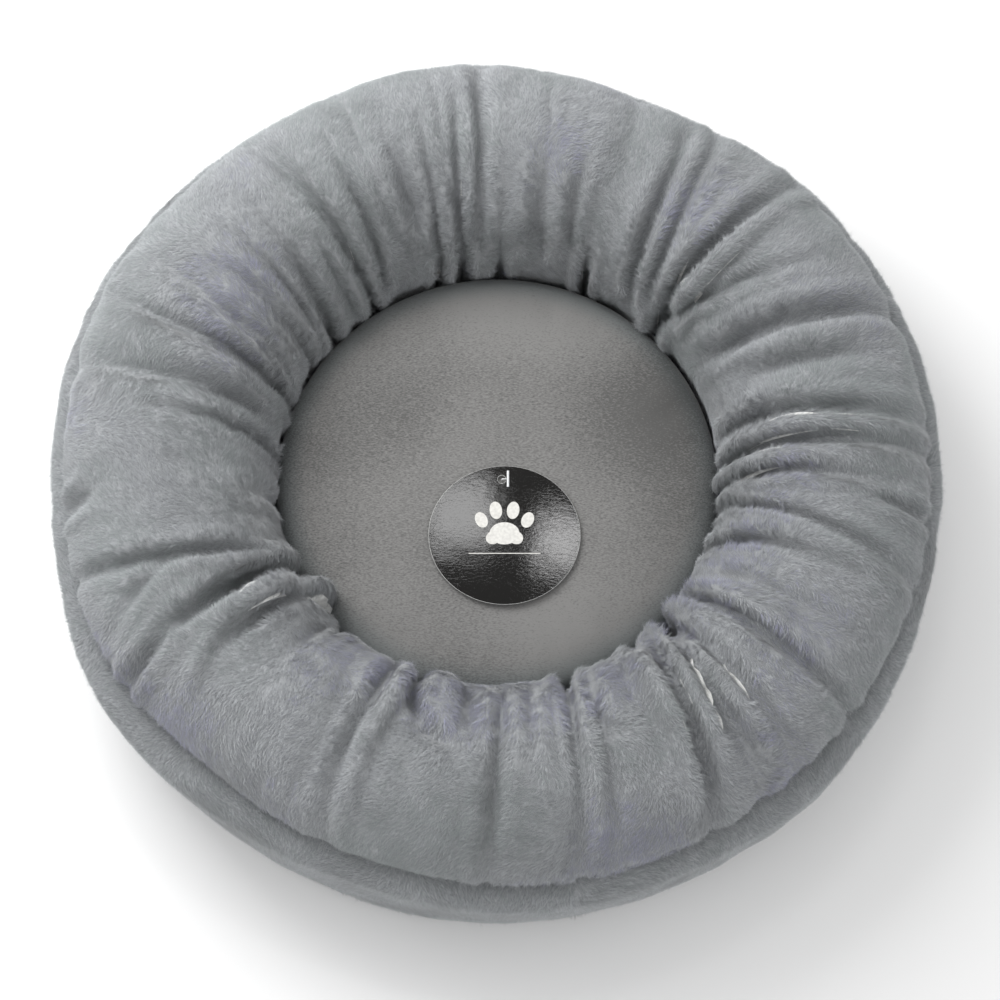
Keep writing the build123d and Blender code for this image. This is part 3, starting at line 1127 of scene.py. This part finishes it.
class PETBED_OT_cushion(bpy.types.Operator):
    """Make the loose velvet cushion in the well"""

    bl_idname = "pet_bed.cushion"
    bl_label = "Cushion"

    def execute(self, context):
        top = self.panel("cushion_velvet_top", PAD_TOP - 1.0 * MM, 0.0, velvet())
        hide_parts("cushion_top_panel")
        under = self.panel("cushion_underside", PAD_BASE, 0.0, lining())
        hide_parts("cushion_bottom_panel")
        upper = self.panel("upper", PAD_TOP - 1.0 * MM, 2.5 * MM, lining(), 120)
        lower = self.panel("lower", PAD_BASE, 2.5 * MM, lining(), 120)
        fill = bridged([upper, lower], "cushion_fibre", 0.0)
        fill.data.materials.clear()
        fill.data.materials.append(fibre())
        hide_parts("cushion_filling")
        for piece in (top, under, fill):
            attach(piece, "cushion")
        return {"FINISHED"}

    def panel(self, name, level, inset, material, steps=300):
        """One side of the cushion: nearly flat, rounding over to the seam at half height."""
        rise = level - PAD_SEAM
        rise -= math.copysign(inset, rise)
        reach = PAD_RADIUS - inset
        line = []
        for turn in np.radians(np.linspace(90, 0, 60)):
            out = reach * math.cos(turn) ** 0.75
            line.append((max(out, 0.0), PAD_SEAM + rise * math.sin(turn) ** 0.5))
        piece = mesh_object(name, spun(even(line, 50), steps))
        places = read_points(piece)
        angle, out = np.arctan2(places[:, 1], places[:, 0]), np.hypot(places[:, 0], places[:, 1])
        held = np.clip((PAD_RADIUS - out) / 0.02, 0, 1)
        rim = smoothstep(PAD_RADIUS - 40 * MM, PAD_RADIUS - 12 * MM, out) * held
        puckers = lumps(np.stack([np.cos(angle) * 9, np.sin(angle) * 9, 0 * angle], 1), 1.0, 17)
        places[:, 2] += 1.1 * MM * lumps(places * [1, 1, 0], 14.0, 15) * held + 1.6 * MM * puckers * rim
        write_points(piece, places)
        piece.data.materials.append(material)
        return piece


class PETBED_OT_tag(bpy.types.Operator):
    """Make the laminated hang tag, its print and the filament that holds it"""

    bl_idname = "pet_bed.tag"
    bl_label = "Hang tag"

    def execute(self, context):
        card = self.card()
        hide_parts("hang_tag")
        print_ = self.paw()
        for piece in (card, print_):
            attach(piece, "tag")
        filament = self.filament()
        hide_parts("tag_filament")
        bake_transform(filament)
        return {"FINISHED"}

    def card(self):
        """An oval card with a rounded edge and a round hole near its top."""
        bm = bmesh.new()
        middle, half = (TAG_LOW + TAG_HIGH) / 2, (TAG_HIGH - TAG_LOW) / 2
        soft = 0.14 * MM
        hole = Vector((THREAD_LOW.x + 0.35 * MM, middle.y + half.y - 8.0 * MM, 0))
        outside, inside = [], []
        for level, inset in ((TAG_LOW.z, soft), (TAG_LOW.z + soft, 0), (TAG_HIGH.z - soft, 0), (TAG_HIGH.z, soft)):
            stretch = Matrix.Diagonal((half.x - inset, half.y - inset, 1, 1))
            made = bmesh.ops.create_circle(
                bm, segments=128, radius=1.0, matrix=Matrix.Translation((middle.x, middle.y, level)) @ stretch
            )
            outside.append(list({edge for vert in made["verts"] for edge in vert.link_edges}))
            inside.append(ring(bm, Vector((hole.x, hole.y, level)), Matrix().to_quaternion(), 2.4 * MM + inset, 32))
        rim = []
        for rings in (outside, inside):
            for a, b in zip(rings, rings[1:]):
                rim += bmesh.ops.bridge_loops(bm, edges=a + b)["faces"]
        for face in rim:
            face.material_index = 1
        for end in (0, -1):
            bmesh.ops.triangle_fill(bm, edges=outside[end] + inside[end], use_beauty=True)
        bmesh.ops.recalc_face_normals(bm, faces=bm.faces)
        piece = mesh_object("hang_tag_card", bm)
        piece.data.shade_flat()
        piece.data.materials.append(glossy_card())
        piece.data.materials.append(speckled("card_core", (0.75, 0.75, 0.73), (0.92, 0.92, 0.90), 900.0, 0.7, 0.05 * MM))
        return piece

    def paw(self):
        """A plain paw print with a thin rule below it."""
        bm = bmesh.new()
        centre = Vector(((TAG_LOW.x + TAG_HIGH.x) / 2, (TAG_LOW.y + TAG_HIGH.y) / 2 + 5 * MM, TAG_HIGH.z))
        pads = [
            (0, -3.2, 6.2, 4.8, 0),
            (-4.6, -5.0, 3.2, 2.8, 30),
            (4.6, -5.0, 3.2, 2.8, -30),
            (-9.6, 2.6, 2.5, 3.5, 25),
            (-3.6, 6.8, 2.6, 3.8, 8),
            (3.6, 6.8, 2.6, 3.8, -8),
            (9.6, 2.6, 2.5, 3.5, -25),
        ]
        for level, (x, y, across, up, turn) in enumerate(pads):
            place = Matrix.Translation(centre + Vector((1.35 * x * MM, 1.35 * y * MM, 0.02 * MM)))
            height = (0.04 + 0.01 * level) * MM
            size = Matrix.Diagonal((1.35 * across * MM, 1.35 * up * MM, height, 1))
            shape = Matrix.Rotation(math.radians(turn), 4, "Z") @ size
            bmesh.ops.create_cone(
                bm, cap_ends=True, segments=32, radius1=1.0, radius2=1.0, depth=1.0, matrix=place @ shape
            )
        rule = Matrix.Translation(centre + Vector((0, -16 * MM, 0.02 * MM))) @ Matrix.Diagonal((40 * MM, 0.5 * MM, 0.04 * MM, 1))
        bmesh.ops.create_cube(bm, size=1.0, matrix=rule)
        piece = mesh_object("hang_tag_print", bm)
        piece.data.shade_flat()
        piece.data.materials.append(speckled("off_white_ink", (0.62, 0.61, 0.58), (0.76, 0.75, 0.71), 600.0, 0.5, 0.02 * MM))
        return piece

    def filament(self):
        """The filament from the anchor bar in the cushion, up through the hole and over to the bar."""
        x, y = THREAD_LOW.x + 0.35 * MM, (THREAD_LOW.y + THREAD_HIGH.y) / 2
        top = THREAD_HIGH.z - 0.35 * MM
        bend = 1.0 * MM
        line = [(x, y, z) for z in np.linspace(THREAD_LOW.z, top - bend, 10)]
        for turn in np.radians(np.linspace(165, 90, 6)):
            line.append((x + bend + bend * math.cos(turn), y, top - bend + bend * math.sin(turn)))
        line.append((THREAD_HIGH.x, y, top))
        piece = pipe("tag_filament_cord", line, 0.35 * MM)
        piece.data.materials.append(plastic())
        return piece


class PETBED_OT_trims(bpy.types.Operator):
    """Finish the base fabric, the lining, the elastic, the threads and the fastener"""

    bl_idname = "pet_bed.trims"
    bl_label = "Trims"

    def execute(self, context):
        thread = speckled("grey_thread", (0.10, 0.105, 0.11), (0.22, 0.225, 0.235), 1400.0, 0.7, 0.1 * MM)
        elastic = speckled("white_elastic", (0.45, 0.45, 0.44), (0.75, 0.75, 0.74), 700.0, 0.75, 0.2 * MM)
        finishes = {
            "base_panel": base_cloth(),
            "well_lining": lining(),
            "gathering_elastic": elastic,
            "cushion_seam_stitching": thread,
            "tag_anchor_bar": plastic(),
            "tag_bar": plastic(),
        }
        for node, material in finishes.items():
            for slot in bpy.data.objects[node].material_slots:
                slot.material = material
        return {"FINISHED"}


class PETBED_OT_stage(bpy.types.Operator):
    """Set the floor, the studio lights and the camera"""

    bl_idname = "pet_bed.stage"
    bl_label = "Stage"

    def execute(self, context):
        bm = bmesh.new()
        bmesh.ops.create_grid(bm, x_segments=1, y_segments=1, size=6.0)
        floor = mesh_object("floor", bm)
        floor.data.materials.append(new_material("pale_floor", (0.95, 0.95, 0.95), 0.9))
        world = bpy.data.worlds.new("studio")
        context.scene.world = world
        world.use_nodes = True
        world.node_tree.nodes["Background"].inputs["Color"].default_value = (1, 1, 1, 1)
        world.node_tree.nodes["Background"].inputs["Strength"].default_value = 0.80
        self.lamp(context, "key", (-0.44, 0.42, 0.78), 0.5, 4.6)
        self.lamp(context, "fill", (-0.9, 0.8, 0.9), 1.4, 7.5)
        self.lamp(context, "window_left", (-0.045, 0.35, 1.24), 0.08, 0.36)
        self.lamp(context, "window_right", (0.072, 0.315, 1.24), 0.06, 0.26)
        eye = bpy.data.cameras.new("camera")
        eye.lens = 78.8
        eye.sensor_width = 36.0
        camera = bpy.data.objects.new("camera", eye)
        target = Vector((0.0015, 0.005, 0.0))
        elevation = math.radians(72)
        distance = 1.3
        camera.location = target + distance * Vector((0, -math.cos(elevation), math.sin(elevation)))
        camera.rotation_euler = (math.pi / 2 - elevation, 0, 0)
        context.scene.collection.objects.link(camera)
        context.scene.camera = camera
        context.scene.view_settings.view_transform = "Standard"
        return {"FINISHED"}

    def lamp(self, context, name, place, size, power):
        """A large soft lamp that faces the bed."""
        light = bpy.data.lights.new(name, "AREA")
        light.size = size
        light.energy = power
        lamp = bpy.data.objects.new(name, light)
        lamp.location = place
        lamp.visible_camera = False
        lamp.rotation_euler = (-Vector(place)).to_track_quat("-Z", "Y").to_euler()
        context.scene.collection.objects.link(lamp)


class PETBED_PT_panel(bpy.types.Panel):
    """The pet bed's pieces, sizes and colours"""

    bl_label = "Pet Bed"
    bl_idname = "PETBED_PT_panel"
    bl_space_type = "VIEW_3D"
    bl_region_type = "UI"
    bl_category = "Pet Bed"

    def draw(self, context):
        layout = self.layout
        for operator in OPERATORS:
            layout.operator(operator.bl_idname)
        for group in (context.scene.pet_bed_sizes, context.scene.pet_bed_colours):
            for name in group.__annotations__:
                layout.prop(group, name)


OPERATORS = (
    PETBED_OT_bolster,
    PETBED_OT_side_band,
    PETBED_OT_filling,
    PETBED_OT_seams,
    PETBED_OT_pile,
    PETBED_OT_cushion,
    PETBED_OT_tag,
    PETBED_OT_trims,
    PETBED_OT_stage,
)
CLASSES = (PetBedSizes, PetBedColours, *OPERATORS, PETBED_PT_panel)


def register():
    for cls in CLASSES:
        bpy.utils.register_class(cls)
    bpy.types.Scene.pet_bed_sizes = PointerProperty(type=PetBedSizes)
    bpy.types.Scene.pet_bed_colours = PointerProperty(type=PetBedColours)


def unregister():
    del bpy.types.Scene.pet_bed_colours
    del bpy.types.Scene.pet_bed_sizes
    for cls in reversed(CLASSES):
        bpy.utils.unregister_class(cls)


def main():
    """Makes every piece around the frame."""
    register()
    bpy.ops.pet_bed.bolster()
    bpy.ops.pet_bed.side_band()
    bpy.ops.pet_bed.filling()
    bpy.ops.pet_bed.seams()
    bpy.ops.pet_bed.pile()
    bpy.ops.pet_bed.cushion()
    bpy.ops.pet_bed.tag()
    bpy.ops.pet_bed.trims()
    bpy.ops.pet_bed.stage()


if __name__ == "__main__":
    main()
